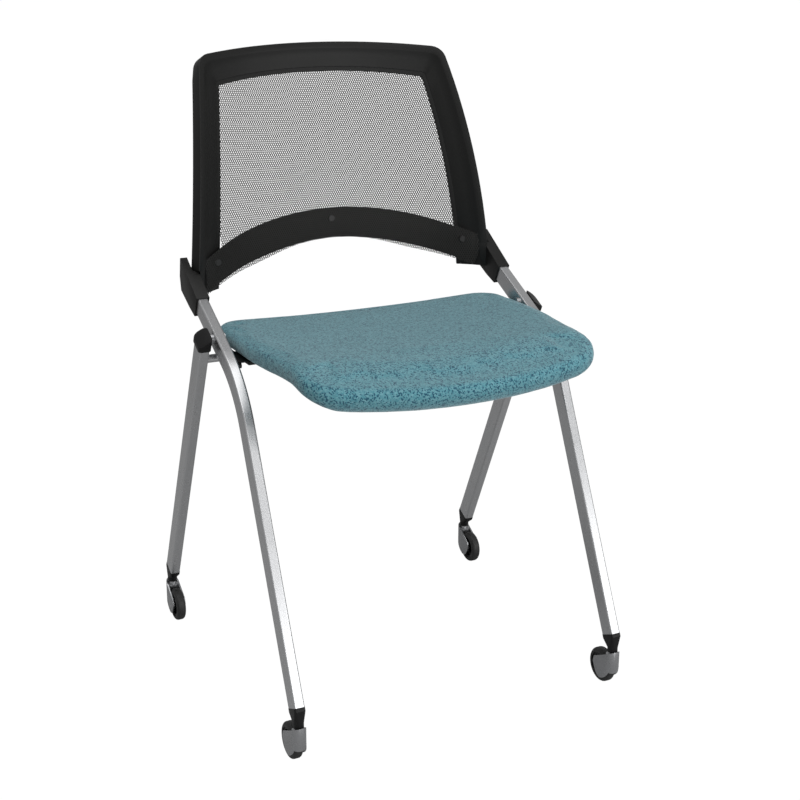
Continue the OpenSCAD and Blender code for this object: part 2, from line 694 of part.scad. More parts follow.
mesh_corner_share = 0.7;
fringe_shares = [0.08, 1, 0.4];
fringe_at_shares = [0.25, 0.65, 1.05];
function fringe(x) =
    let (a = fringe_at_shares, b = fringe_shares, t = abs(x) / window_low)
    let (rise = smooth((t - a[0]) / (a[1] - a[0])), fade = smooth((t - a[1]) / (a[2] - a[1])))
    mesh_fringe * mix(mix(b[0], b[1], rise), b[2], fade);
function mesh_stations() =
    let (corner = meet(window_side, window_head, window_high, 6), low = band_top_s(window_low))
    let (end = window_side(band_top_s(ramp_to)) + rail_w * ramp_shares[1] - seat_gap * 2)
    let (clear = window_r * mesh_corner_share)
    concat(
        [for (i = [0:15]) let (x = (corner[0] - clear) * i / 15) [x, window_head(x) - seat_gap]],
        [for (i = [0:8]) let (s = mix(corner[1] - clear, low + mesh_t * 4, i / 8))
            [window_side(s) - seat_gap, s]],
        [for (i = [1:5]) let (x = mix(window_side(low), end, i / 5)) [x, band_top_s(x) + mesh_t * 2]]
    );

// Levels of the mesh over one station: over the band, then over the step behind it, then to the top
function mesh_levels(x, top) =
    let (low = band_low_s(x) - fringe(x), edge = band_top_s(x) + seat_gap)
    let (behind = min(edge + band_low, (edge + top) / 2))
    concat(
        [for (i = [0:3]) mix(low, edge, i / 3)],
        [for (i = [1:3]) mix(edge, behind, i / 3)],
        [for (i = [1:4]) mix(behind, top, i / 4)]
    );
module mesh_panel() {
    half = mesh_stations();
    n = len(half);
    stations = concat([for (i = [n - 1:-1:1]) [-half[i][0], half[i][1]]], half);
    rings = [for (p = stations) let (x = p[0], levels = mesh_levels(x, p[1]), last = len(levels) - 1) [
        for (s = levels) back_point(x, s, mesh_depth(x, s) + mesh_t),
        for (i = [last:-1:0]) back_point(x, levels[i], mesh_depth(x, levels[i]))
    ]];
    color("#404040") placed() skin(rings);
}

// Bracket outline: shares of its length along the tube and of the tube's depth, off the tube's face
bracket_shares = [[0, 0.05], [1, 0.333], [0.915, -0.633], [0.768, -1.2], [0.3, -1.16], [0, -1.06]];
bracket_ledge_x = rail_wall_x + seat_gap;
bracket_screw_shares = [[0.6, -0.55], [0.7, -0.05]];
bracket_screws_yz = [for (p = bracket_screw_shares)
    bracket_front + p[0] * bracket_l * rise_dir + p[1] * tube_d * rise_up];
module bracket_outline() {
    translate(bracket_front) rotate(rise_angle)
        polygon([for (p = bracket_shares) [p[0] * bracket_l, p[1] * tube_d]]);
}
module back_bracket(right) {
    color("#202020") mirrored(right) difference() {
        union() {
            translate([bracket_ledge_x, 0, 0]) side_view()
                linear_extrude(bracket_outer_x - bracket_ledge_x) bracket_outline();
            translate([bracket_inner_x, 0, 0]) side_view()
                linear_extrude(bracket_ledge_x - bracket_inner_x) intersection() {
                    bracket_outline();
                    translate([bracket_front[0] - bracket_l, lumbar_z - bracket_l])
                        square([3 * bracket_l, bracket_l + bracket_lip]);
                }
        }
        translate([front_x, 0, 0]) side_view()
            tube_run(bracket_front, 90 + rise_angle, -socket_l - fit, over, fit);
        for (p = bracket_screws_yz)
            cross_shaft(p, screw_d + 2 * fit, bracket_inner_x - over, bracket_outer_x - bracket_wall);
    }
}

module bracket_screws() {
    color("gainsboro") both_sides() for (p = bracket_screws_yz)
        cross_shaft(p, screw_d, bracket_inner_x - screw_head_d, bracket_outer_x - 2 * bracket_wall);
}

// Screws through the mesh and the band, one in the middle and one near each end
band_screw_share = 1.024;
band_screw_shares = [0.65, 0.68];
band_screw_x = window_low * band_screw_share;
band_reach_share = 0.8;
module band_screws() {
    color("black") placed() for (x = [-band_screw_x, 0, band_screw_x]) {
        s = mix(band_low_s(x), band_top_s(x), band_screw_shares[x == 0 ? 0 : 1]);
        p = back_point(x, s, band_depth(x) + seat_gap + mesh_t);
        q = back_point(x, s, band_depth(x) - band_t * band_reach_share);
        aim = p - q;
        translate(q) rotate([0, 0, atan2(aim[1], aim[0])]) rotate([0, acos(aim[2] / norm(aim)), 0]) {
            cylinder(d = screw_d, h = norm(aim) + screw_head_h / 2);
            translate([0, 0, norm(aim) + seat_gap]) cylinder(d = screw_head_d, h = screw_head_h / 2);
        }
    }
}

// One caster, with its swivel axis on z and its wheel behind it, towards +y
module at_caster(front, right) {
    placed() mirror([right ? 1 : 0, 0, 0])
        translate([front ? front_x : rear_x, front ? front_stem_y : rear_stem_y, 0])
            rotate(front ? 0 : 180) children();
}

plug_share = 0.8;
module end_cap(front, right) {
    slice = tube_front_r * 2;
    plug_l = tube_d * plug_share;
    color("#202020") difference() {
        union() {
            mirrored(right) if (front) {
                end = front_leg_l - bend_tangent;
                translate([front_x, 0, 0]) side_view() tube_run(bend_centre + bend_r * leg_up,
                    90 + leg_angle, end - plug_l, end + over, -tube_wall - fit);
                hull() {
                    translate([front_x, 0, 0]) side_view()
                        tube_run(bend_centre + bend_r * leg_up, 90 + leg_angle, end, end + slice, fit * 4);
                    translate([front_x, front_stem_y, foot_bottom_z + hood_h - web_h])
                        cylinder(d = foot_d, h = slice, $fn = 32);
                }
            } else {
                leg_frame() translate([0, 0, rear_leg_l - plug_l])
                    linear_extrude(plug_l + over) tube_section(-tube_wall - fit);
                hull() {
                    leg_frame() translate([0, 0, rear_leg_l]) linear_extrude(slice) tube_section(fit * 4);
                    translate([rear_x, rear_stem_y, foot_bottom_z + hood_h - web_h])
                        cylinder(d = foot_d, h = slice, $fn = 32);
                }
            }
            at_caster(front, right) translate([0, 0, foot_bottom_z]) {
                cylinder(d = foot_d, h = hood_h - web_h + slice / 2);
            }
        }
        at_caster(front, right) translate([0, 0, foot_bottom_z - over])
            cylinder(d = stem_d + 2 * hinge_fit, h = stem_l + 2 * over);
    }
}

collar_share = 0.75;
module caster_stem(front, right) {
    color("silver") at_caster(front, right) translate([0, 0, web_z]) {
        translate([0, 0, -web_h / 4]) cylinder(d = stem_d, h = web_h / 4 + collar_t + seat_gap + stem_l);
        cylinder(d = foot_d * collar_share, h = collar_t);
    }
}

// Outline of a hood's cheek about the axle: shares of the wheel's radius, towards the stem and up
cheek_centre_share = 0.12;
axle_seat_share = 0.6;
cheek_shares = [[1.4, 1.39], [-0.32, 0.47], [-0.42, 0.1], [-0.1, -0.46], [0.15, -0.62], [1.4, -0.62]];
module cheek_outline() {
    r = wheel_d / 2;
    intersection() {
        union() {
            translate([r * cheek_centre_share, hood_h - r]) circle(r = r, $fn = 96);
            translate([r * cheek_centre_share, hood_h - hood_end_h]) square([trail + hood_r, hood_end_h]);
        }
        polygon([for (p = cheek_shares) p * r]);
    }
}
module hood_plan(r) {
    circle(r = r);
    translate([-r, 0]) square([2 * r, trail + wheel_d / 2]);
}
module caster_hood(front, right) {
    axle_reach = hood_inner_r + hood_t * axle_seat_share;
    color("silver") at_caster(front, right) difference() {
        union() {
            intersection() {
                difference() {
                    linear_extrude(axle_z + hood_h) hood_plan(hood_r);
                    translate([0, 0, -over])
                        linear_extrude(axle_z + hood_h + 2 * over) hood_plan(hood_inner_r);
                }
                translate([-hood_r, trail, axle_z]) rotate([0, 0, 180]) mirror([1, 0, 0])
                    side_view() linear_extrude(2 * hood_r) cheek_outline();
            }
            translate([0, 0, axle_z]) linear_extrude(web_h) circle(r = hood_inner_r + hood_t / 2);
        }
        cross_shaft([trail, axle_z], wheel_d + 2 * web_gap, -hood_inner_r, hood_inner_r);
        cross_shaft([trail, axle_z], axle_d + 2 * fit, -axle_reach, axle_reach);
        translate([0, 0, web_z - web_h]) cylinder(d = stem_d + 2 * fit, h = web_h + over);
    }
}

module caster_axle(front, right) {
    color("gainsboro") at_caster(front, right)
        cross_shaft([trail, axle_z], axle_d, -hood_inner_r - hood_t / 2, hood_inner_r + hood_t / 2);
}

module wheel_frame(front, right) {
    at_caster(front, right) translate([0, trail, axle_z]) rotate([0, 90, 0]) children();
}

boss_share = 0.6;
hub_shares = [0.15, 0.8];
module wheel_hub(front, right) {
    r = wheel_d / 2 - tyre_t - fit;
    bore_r = axle_d / 2 + hinge_fit;
    color("#303030") wheel_frame(front, right) rotate_extrude() {
        translate([bore_r, -wheel_w / 2]) square([axle_d * boss_share, wheel_w]);
        translate([bore_r, -wheel_w / 6]) square([r - bore_r, wheel_w / 3]);
        translate([r * (1 - hub_shares[0]), -wheel_w * hub_shares[1] / 2])
            square([r * hub_shares[0], wheel_w * hub_shares[1]]);
    }
}

module wheel_tyre(front, right) {
    r = wheel_d / 2;
    color("black") wheel_frame(front, right) rotate_extrude($fn = 96) {
        translate([r - tyre_t, -wheel_w / 2]) square([tyre_t - tread_r, wheel_w]);
        translate([r - tread_r, -wheel_w / 2 + tread_r]) square([tread_r, wheel_w - 2 * tread_r]);
        intersection() {
            for (y = [-1, 1]) translate([r - tread_r, y * (wheel_w / 2 - tread_r)]) circle(r = tread_r);
            translate([r - tyre_t, -wheel_w / 2]) square([tyre_t, wheel_w]);
        }
    }
}

front_tube(true);  // front_tube_right
front_tube(false);  // front_tube_left
rear_leg(true);  // rear_leg_right
rear_leg(false);  // rear_leg_left
leg_top_cap(true);  // leg_top_cap_right
leg_top_cap(false);  // leg_top_cap_left
frame_spacers();
frame_bolts();
pivot_tube();
stop_pins();
back_frame();
back_band();
mesh_panel();
back_bracket(true);  // back_bracket_right
back_bracket(false);  // back_bracket_left
band_screws();
bracket_screws();
seat_cushion();
seat_board();
seat_hinge(true);  // seat_hinge_right
seat_hinge(false);  // seat_hinge_left
hinge_bushes();
hinge_screws();
end_cap(true, true);  // end_cap_front_right
end_cap(true, false);  // end_cap_front_left
end_cap(false, true);  // end_cap_rear_right
end_cap(false, false);  // end_cap_rear_left
caster_stem(true, true);  // caster_stem_front_right
caster_stem(true, false);  // caster_stem_front_left
caster_stem(false, true);  // caster_stem_rear_right
caster_stem(false, false);  // caster_stem_rear_left
caster_hood(true, true);  // caster_hood_front_right
caster_hood(true, false);  // caster_hood_front_left
caster_hood(false, true);  // caster_hood_rear_right
caster_hood(false, false);  // caster_hood_rear_left
caster_axle(true, true);  // caster_axle_front_right
caster_axle(true, false);  // caster_axle_front_left
caster_axle(false, true);  // caster_axle_rear_right
caster_axle(false, false);  // caster_axle_rear_left
wheel_hub(true, true);  // wheel_hub_front_right
wheel_hub(true, false);  // wheel_hub_front_left
wheel_hub(false, true);  // wheel_hub_rear_right
wheel_hub(false, false);  // wheel_hub_rear_left
wheel_tyre(true, true);  // wheel_tyre_front_right
wheel_tyre(true, false);  // wheel_tyre_front_left
wheel_tyre(false, true);  // wheel_tyre_rear_right
wheel_tyre(false, false);  // wheel_tyre_rear_left
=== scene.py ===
import json
import math
import bpy
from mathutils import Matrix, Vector

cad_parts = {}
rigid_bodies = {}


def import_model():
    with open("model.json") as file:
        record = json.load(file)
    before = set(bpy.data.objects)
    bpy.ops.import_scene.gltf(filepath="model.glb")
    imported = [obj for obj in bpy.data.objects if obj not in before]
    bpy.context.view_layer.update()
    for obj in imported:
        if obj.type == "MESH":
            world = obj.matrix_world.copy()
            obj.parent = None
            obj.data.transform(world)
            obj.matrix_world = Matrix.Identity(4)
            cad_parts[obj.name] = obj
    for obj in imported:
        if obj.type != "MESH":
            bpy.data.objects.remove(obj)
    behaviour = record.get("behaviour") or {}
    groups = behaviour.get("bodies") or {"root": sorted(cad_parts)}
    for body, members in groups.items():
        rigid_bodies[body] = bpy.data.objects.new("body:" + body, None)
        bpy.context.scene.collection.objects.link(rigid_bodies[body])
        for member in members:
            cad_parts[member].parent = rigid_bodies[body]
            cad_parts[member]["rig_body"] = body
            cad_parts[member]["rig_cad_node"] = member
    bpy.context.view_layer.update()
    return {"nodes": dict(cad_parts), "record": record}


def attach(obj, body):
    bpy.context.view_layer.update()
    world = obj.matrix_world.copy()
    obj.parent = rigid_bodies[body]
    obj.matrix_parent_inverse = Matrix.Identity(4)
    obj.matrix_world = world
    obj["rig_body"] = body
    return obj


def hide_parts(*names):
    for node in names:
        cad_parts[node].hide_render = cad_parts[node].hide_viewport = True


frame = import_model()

# Sizes are in metres, in the chair's own frame.

# Where the back's curve comes from: its lumbar level, its side radius and the hollow across it
lumbar_level = 0.53655
back_centre_y = 0.8002
back_radius = 0.654
back_hollow = 0.0347
back_hollow_at = 0.1846

# Knitted mesh: distance between the holes across and along, and the half sizes of a hole
mesh_across = 0.0033
mesh_along = 0.0061
hole_half_width = 0.00090
hole_half_height = 0.00136

# A face of the mesh panel belongs to its front skin if it faces forward by at least this share
front_share = 0.35

# How near the frame a point of the mesh's edge lies, how far it is tucked into the frame's groove,
# and the share of that way that may run forward or back
edge_reach = 0.0014
tuck_depth = 0.0009
tuck_depth_share = 0.8

# Loose triangles of a copied solid are joined within this distance
weld_reach = 0.00002

# An edge that turns by less than this many degrees is shaded smooth
smooth_turn = 32

# Mouldings: the radius of their edges, and the turn in degrees from which an edge has it
moulding_edges = {
    "back_frame": (0.0012, 24),
    "back_band": (0.0010, 30),
    "back_bracket": (0.0010, 30),
    "leg_top_cap": (0.0010, 30),
    "end_cap": (0.0007, 30),
    "caster_hood": (0.0007, 30),
}
edge_steps = 2

# Seat cushion: the net of its cover, how far the cover starts inside the foam, and how far it may
# then stand proud of the foam or sink into it
cover_net = 0.005
cover_start = 0.0010
cover_proud = 0.0016
cover_sunk = 0.0008

# A point of the cover that faces down by this share or more is stapled down
stapled_share = 0.6

# The cover as cloth, and the moments through which it is filled
cover_cloth = {
    "quality": 6,
    "mass": 0.3,
    "tension_stiffness": 18.0,
    "compression_stiffness": 18.0,
    "shear_stiffness": 8.0,
    "bending_stiffness": 2.0,
    "use_pressure": True,
    "uniform_pressure_force": 4.0,
}
cover_moments = 20

# Noise: its own roughness, the two values that most of it lies between, and how many cells it has
# to the metre in each finish
noise_roughness = 0.6
most_noise = (0.3, 0.7)
paint_cloud = 26.0
plastic_cloud = 14.0
brush_marks = 700.0
dust_spots = 240.0
tweed_patches = 55.0
thread_twist = 1500.0

# Painted metal: colour, how metallic, roughness
silver_finishes = {
    "frame_silver": ((0.52, 0.525, 0.535), 0.92, 0.26),
    "hood_silver": ((0.36, 0.365, 0.375), 0.85, 0.26),
}
paint_fleck = 2600.0
paint_fleck_range = (0.35, 0.65)
paint_fleck_share = 0.98
paint_fleck_depth = 0.000004
paint_fleck_strength = 0.1

# Roughness of paint and plastic varies by this much, down and up
paint_unevenness = (0.02, 0.03)
plastic_unevenness = (0.03, 0.03)

# Moulded plastic: colour, roughness, and the fineness and depth of its grain
fine_grain = (900.0, 0.00004)
coarse_grain = (500.0, 0.0001)
plastic_finishes = {
    "cap_plastic": ((0.009, 0.009, 0.0093), 0.42, fine_grain),
    "back_plastic": ((0.0120, 0.0120, 0.0116), 0.44, fine_grain),
    "band_plastic": ((0.010, 0.009, 0.0082), 0.55, fine_grain),
    "hinge_plastic": ((0.012, 0.012, 0.012), 0.45, fine_grain),
    "board_plastic": ((0.014, 0.014, 0.014), 0.55, coarse_grain),
    "bush_plastic": ((0.55, 0.55, 0.53), 0.35, fine_grain),
    "hub_plastic": ((0.014, 0.014, 0.014), 0.40, fine_grain),
    "screw_black": ((0.016, 0.016, 0.016), 0.30, fine_grain),
}
plastic_gloss = 0.2
plastic_shades = (0.9, 1.1)
grain_strength = 0.6

# Zinc-plated steel: its two colours and the range of its roughness
zinc_tones = ((0.50, 0.50, 0.51), (0.66, 0.66, 0.67))
zinc_roughness = (0.24, 0.36)

# Tyre rubber: clean and dusty, the noise from which it is dusty, and its unevenness
rubber_tones = ((0.012, 0.012, 0.012), (0.03, 0.03, 0.03))
rubber_roughness = 0.55
dust_range = (0.45, 0.8)
dust_depth = 0.00004
dust_strength = 0.5

# Tweed: the two ends of its teal, its dark fleck and the share of yarns without one, its shaded
# patches, and its nap
teal_tones = ((0.078, 0.266, 0.325), (0.185, 0.410, 0.468))
fleck_tone = (0.016, 0.080, 0.135)
fleck_range = (0.70, 0.78)
patch_tone = (0.060, 0.200, 0.245)
patch_strength = 0.22
nap_weight = 0.60
nap_roughness = 0.50
nap_tint = (0.75, 0.86, 0.88, 1)
tweed_roughness = 0.95
tweed_gloss = 0.15
yarn_fineness = 620.0
yarn_disorder = 0.9
yarn_height = 0.0007
yarn_strength = 0.55

# Thread of the knitted mesh. Its height rises over this range of distances from a hole's middle,
# where 1 is the hole's edge
thread_tones = ((0.010, 0.010, 0.0095), (0.030, 0.0295, 0.0275))
thread_roughness = 0.6
thread_gloss = 0.25
thread_range = (1.0, 2.4)
thread_height = 0.0003
thread_strength = 0.5

# Whole turns added before the part of a turn is taken, so that both sides of the middle match
pattern_start = 100.0

# Floor and backdrop: the floor's size and own colour, how much of it glows white to the camera,
# and how much of that white the metal shows of the floor and of the backdrop
floor_size = 60.0
floor_tone = (0.52, 0.52, 0.52, 1)
floor_roughness = 0.9
floor_glow = 0.94
floor_in_metal = 0.08
backdrop_in_metal = 0.30
room_light = 0.22
plain_white = (1, 1, 1, 1)

# Soft lights: name, place, the point it faces, width, height and watts
soft_lights = (
    ("front", (0.9, -2.8, 0.75), (0, 0, 0.35), 4.2, 1.1, 42.0),
    ("strip", (0.9, -2.5, 1.95), (0, 0, 0.45), 3.0, 0.35, 6.0),
    ("top", (-0.3, -0.8, 3.2), (0, 0, 0.45), 3.0, 3.0, 48.0),
)

# Camera: its place, the point it faces, its film's width in mm, its focal length and picture width
# in pixels, its shift, and the nearest and farthest that it sees
camera_place = (-0.7793, -1.68036, 0.9853)
camera_aim = (0, 0.00114, 0.4187)
film_width = 36.0
focal_pixels = 1413.4
picture_pixels = 800.0
camera_shift = (0.0198, -0.0401)
camera_reach = (0.05, 100.0)


# Working tools

def nothing_selected():
    if bpy.context.object and bpy.context.object.mode != "OBJECT":
        bpy.ops.object.mode_set(mode="OBJECT")
    bpy.ops.object.select_all(action="DESELECT")


def pick(piece):
    nothing_selected()
    piece.select_set(True)
    bpy.context.view_layer.objects.active = piece


def finish_modifier(modifier):
    bpy.ops.object.modifier_apply(modifier=modifier.name)


def copy_of_node(node, name):
    """A separate copy of a CAD solid, with its loose triangles joined up."""
    source = frame["nodes"][node]
    piece = source.copy()
    piece.data = source.data.copy()
    piece.name = name
    piece.parent = None
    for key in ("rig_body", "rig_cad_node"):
        if key in piece:
            del piece[key]
    bpy.context.scene.collection.objects.link(piece)
    pick(piece)
    bpy.ops.object.mode_set(mode="EDIT")
    bpy.ops.mesh.select_all(action="SELECT")
    bpy.ops.mesh.remove_doubles(threshold=weld_reach)
    bpy.ops.object.mode_set(mode="OBJECT")
    if piece.data.has_custom_normals:
        bpy.ops.mesh.customdata_custom_splitnormals_clear()
    return piece


def set_material(piece, material):
    piece.data.materials.clear()
    piece.data.materials.append(material)


# Finishes

def new_finish(name):
    material = bpy.data.materials.new(name)
    material.use_nodes = True
    tree = material.node_tree
    return material, tree.nodes, tree.links, tree.nodes["Principled BSDF"]


def set_plain(shader, **values):
    for socket, value in values.items():
        shader.inputs[socket.replace("_", " ")].default_value = value


def set_gloss(shader, level):
    shader.inputs["Specular IOR Level"].default_value = level


def object_coordinates(nodes):
    return nodes.new("ShaderNodeTexCoord").outputs["Object"]


def grain(nodes, links, coordinates, scale, detail):
    noise = nodes.new("ShaderNodeTexNoise")
    noise.inputs["Scale"].default_value = scale
    noise.inputs["Detail"].default_value = detail
    noise.inputs["Roughness"].default_value = noise_roughness
    links.new(coordinates, noise.inputs["Vector"])
    return noise.outputs["Fac"]


def spread(nodes, links, value, low, high, to_low=0.0, to_high=1.0):
    """The values between low and high are spread from to_low to to_high, and kept within them."""
    node = nodes.new("ShaderNodeMapRange")
    node.inputs["From Min"].default_value = low
    node.inputs["From Max"].default_value = high
    node.inputs["To Min"].default_value = to_low
    node.inputs["To Max"].default_value = to_high
    links.new(value, node.inputs["Value"])
    return node.outputs["Result"]


def two_tone(nodes, links, amount, first, second):
    """From one colour to another. Each is three numbers or the output of a node."""
    mix = nodes.new("ShaderNodeMix")
    mix.data_type = "RGBA"
    links.new(amount, mix.inputs["Factor"])
    ends = {socket.name: socket for socket in mix.inputs if socket.type == "RGBA"}
    for name, colour in (("A", first), ("B", second)):
        if isinstance(colour, bpy.types.NodeSocket):
            links.new(colour, ends[name])
        else:
            ends[name].default_value = (*colour, 1)
    return [socket for socket in mix.outputs if socket.type == "RGBA"][0]


def reckon(nodes, links, operation, first, second):
    node = nodes.new("ShaderNodeMath")
    node.operation = operation
    for socket, value in zip(node.inputs, (first, second)):
        if isinstance(value, (int, float)):
            socket.default_value = value
        else:
            links.new(value, socket)
    return node.outputs[0]


def raise_surface(nodes, links, shader, height, depth, strength):
    bump = nodes.new("ShaderNodeBump")
    bump.inputs["Strength"].default_value = strength
    bump.inputs["Distance"].default_value = depth
    links.new(height, bump.inputs["Height"])
    links.new(bump.outputs["Normal"], shader.inputs["Normal"])


def uneven_roughness(nodes, links, shader, cloud, low, high):
    links.new(spread(nodes, links, cloud, *most_noise, low, high), shader.inputs["Roughness"])


def shade(tone, share):
    return [share * part for part in tone]


def silver_paint(name, tone, metallic, roughness):
    material, nodes, links, shader = new_finish(name)
    place = object_coordinates(nodes)
    fleck = grain(nodes, links, place, paint_fleck, 2.0)
    links.new(two_tone(nodes, links, spread(nodes, links, fleck, *paint_fleck_range),
                       shade(tone, paint_fleck_share), tone), shader.inputs["Base Color"])
    cloud = grain(nodes, links, place, paint_cloud, 3.0)
    less, more = paint_unevenness
    uneven_roughness(nodes, links, shader, cloud, roughness - less, roughness + more)
    set_plain(shader, Metallic=metallic)
    raise_surface(nodes, links, shader, fleck, paint_fleck_depth, paint_fleck_strength)
    return material


def moulded_plastic(name, tone, roughness, plastic_grain):
    material, nodes, links, shader = new_finish(name)
    place = object_coordinates(nodes)
    fineness, depth = plastic_grain
    fine = grain(nodes, links, place, fineness, 3.0)
    cloud = grain(nodes, links, place, plastic_cloud, 2.0)
    dark, light = [shade(tone, share) for share in plastic_shades]
    links.new(two_tone(nodes, links, cloud, dark, light), shader.inputs["Base Color"])
    less, more = plastic_unevenness
    uneven_roughness(nodes, links, shader, cloud, roughness - less, roughness + more)
    set_gloss(shader, plastic_gloss)
    raise_surface(nodes, links, shader, fine, depth, grain_strength)
    return material


def zinc_steel(name):
    material, nodes, links, shader = new_finish(name)
    place = object_coordinates(nodes)
    brushed = grain(nodes, links, place, brush_marks, 5.0)
    links.new(two_tone(nodes, links, brushed, *zinc_tones), shader.inputs["Base Color"])
    uneven_roughness(nodes, links, shader, brushed, *zinc_roughness)
    set_plain(shader, Metallic=1.0)
    return material


def tyre_rubber(name):
    material, nodes, links, shader = new_finish(name)
    place = object_coordinates(nodes)
    dust = grain(nodes, links, place, dust_spots, 5.0)
    links.new(two_tone(nodes, links, spread(nodes, links, dust, *dust_range), *rubber_tones),
              shader.inputs["Base Color"])
    set_plain(shader, Roughness=rubber_roughness)
    raise_surface(nodes, links, shader, dust, dust_depth, dust_strength)
    return material


def tweed(name):
    """Heathered wool tweed: fine yarn bumps in several teals, with dark flecks and a soft nap."""
    material, nodes, links, shader = new_finish(name)
    place = object_coordinates(nodes)
    yarn = nodes.new("ShaderNodeTexVoronoi")
    yarn.inputs["Scale"].default_value = yarn_fineness
    yarn.inputs["Randomness"].default_value = yarn_disorder
    links.new(place, yarn.inputs["Vector"])
    cell_tone = nodes.new("ShaderNodeSeparateColor")
    links.new(yarn.outputs["Color"], cell_tone.inputs["Color"])
    teal = two_tone(nodes, links, spread(nodes, links, cell_tone.outputs[0], 0.0, 1.0), *teal_tones)
    flecked = two_tone(nodes, links, spread(nodes, links, cell_tone.outputs[1], *fleck_range),
                       teal, fleck_tone)
    patch = grain(nodes, links, place, tweed_patches, 4.0)
    shaded = two_tone(nodes, links, spread(nodes, links, patch, *most_noise, 0.0, patch_strength),
                      flecked, patch_tone)
    links.new(shaded, shader.inputs["Base Color"])
    set_plain(shader, Roughness=tweed_roughness, Sheen_Weight=nap_weight,
              Sheen_Roughness=nap_roughness, Sheen_Tint=nap_tint)
    set_gloss(shader, tweed_gloss)
    height = reckon(nodes, links, "SUBTRACT", 1.0, yarn.outputs["Distance"])
    raise_surface(nodes, links, shader, height, yarn_height, yarn_strength)
    return material


def knitted_mesh(name):
    """Black knit with staggered oval holes. It reads the piece's own flat map, in metres."""
    material, nodes, links, shader = new_finish(name)
    flat = nodes.new("ShaderNodeUVMap")
    flat.uv_map = "flat"
    split = nodes.new("ShaderNodeSeparateXYZ")
    links.new(flat.outputs["UV"], split.inputs[0])
    ways = ((split.outputs[0], mesh_across, hole_half_width),
            (split.outputs[1], mesh_along, hole_half_height))
    distances = []
    for shift in (0.0, 0.5):
        parts = []
        for value, pitch, half in ways:
            turns = reckon(nodes, links, "DIVIDE", value, pitch)
            turns = reckon(nodes, links, "ADD", turns, pattern_start + shift)
            turns = reckon(nodes, links, "FRACT", turns, 0.0)
            part = reckon(nodes, links, "SUBTRACT", turns, 0.5)
            part = reckon(nodes, links, "MULTIPLY", part, pitch / half)
            parts.append(reckon(nodes, links, "MULTIPLY", part, part))
        distances.append(reckon(nodes, links, "ADD", parts[0], parts[1]))
    nearest = reckon(nodes, links, "MINIMUM", distances[0], distances[1])
    thread = reckon(nodes, links, "GREATER_THAN", nearest, 1.0)
    links.new(thread, shader.inputs["Alpha"])
    twist = grain(nodes, links, object_coordinates(nodes), thread_twist, 2.0)
    links.new(two_tone(nodes, links, twist, *thread_tones), shader.inputs["Base Color"])
    set_plain(shader, Roughness=thread_roughness)
    set_gloss(shader, thread_gloss)
    raise_surface(nodes, links, shader, spread(nodes, links, nearest, *thread_range),
                  thread_height, thread_strength)
    return material


finish_of_slot = {
    "stop_plastic": tyre_rubber("stop rubber"),
    "tyre_rubber": tyre_rubber("tyre rubber"),
    "screw_steel": zinc_steel("screw steel"),
    "caster_steel": zinc_steel("caster steel"),
    "seat_fabric": tweed("seat tweed"),
    "mesh_fabric": knitted_mesh("knitted mesh"),
}
for slot, values in silver_finishes.items():
    finish_of_slot[slot] = silver_paint(slot.replace("_", " "), *values)
for slot, values in plastic_finishes.items():
    finish_of_slot[slot] = moulded_plastic(slot.replace("_", " "), *values)

slot_of_node = {part["node"]: part["material_slot"] for part in frame["record"]["subparts"]}
for node, solid in frame["nodes"].items():
    set_material(solid, finish_of_slot[slot_of_node[node]])
    pick(solid)
    bpy.ops.object.shade_smooth_by_angle(angle=math.radians(smooth_turn))


# Moulded pieces, with the small radius that their edges have

def soften_edges(piece, width, turn):
    pick(piece)
    bpy.ops.object.shade_smooth()
    bevel = piece.modifiers.new("soft edges", "BEVEL")
    bevel.width = width
    bevel.segments = edge_steps
    bevel.limit_method = "ANGLE"
    bevel.angle_limit = math.radians(turn)
    bevel.use_clamp_overlap = True
    finish_modifier(bevel)
    bpy.ops.object.shade_smooth_by_angle(angle=math.radians(turn))


def moulded_copy(kind, end, body):
    """A moulding in place of its CAD solid. Its node is named by its kind and its end."""
    node = kind + end
    piece = copy_of_node(node, node + "_moulding")
    soften_edges(piece, *moulding_edges[kind])
    set_material(piece, finish_of_slot[slot_of_node[node]])
    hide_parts(node)
    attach(piece, body)
    return piece


back_frame = moulded_copy("back_frame", "", "frame")
moulded_copy("back_band", "", "frame")
for side in ("_right", "_left"):
    moulded_copy("back_bracket", side, "frame")
    moulded_copy("leg_top_cap", side, "frame")
    for place in ("_front", "_rear"):
        moulded_copy("end_cap", place + side, "frame")
        moulded_copy("caster_hood", place + side, "caster" + place + side)


# Knitted mesh of the back

def flat_place(point):
    """Where a point of the back lies on the mesh as it was cut: across and along, in metres."""
    x, y, z = point
    along = back_radius * math.atan2(z - lumbar_level, back_centre_y - y)
    slope = 2 * back_hollow * x / back_hollow_at ** 2
    across = 0.5 * x * math.sqrt(1 + slope * slope) + 0.5 * x
    return across, along


def keep_front_skin(piece):
    """Of the CAD solid of the mesh only the faces turned to the sitter are left."""
    pick(piece)
    bpy.ops.object.mode_set(mode="EDIT")
    bpy.ops.mesh.select_all(action="DESELECT")
    bpy.ops.object.mode_set(mode="OBJECT")
    for face in piece.data.polygons:
        outward = Vector((0, face.center.y - back_centre_y, face.center.z - lumbar_level))
        face.select = face.normal.dot(outward.normalized()) < front_share
    bpy.ops.object.mode_set(mode="EDIT")
    bpy.ops.mesh.select_mode(type="FACE")
    bpy.ops.mesh.delete(type="FACE")
    bpy.ops.mesh.select_all(action="SELECT")
    bpy.ops.mesh.delete_loose()
    bpy.ops.object.mode_set(mode="OBJECT")


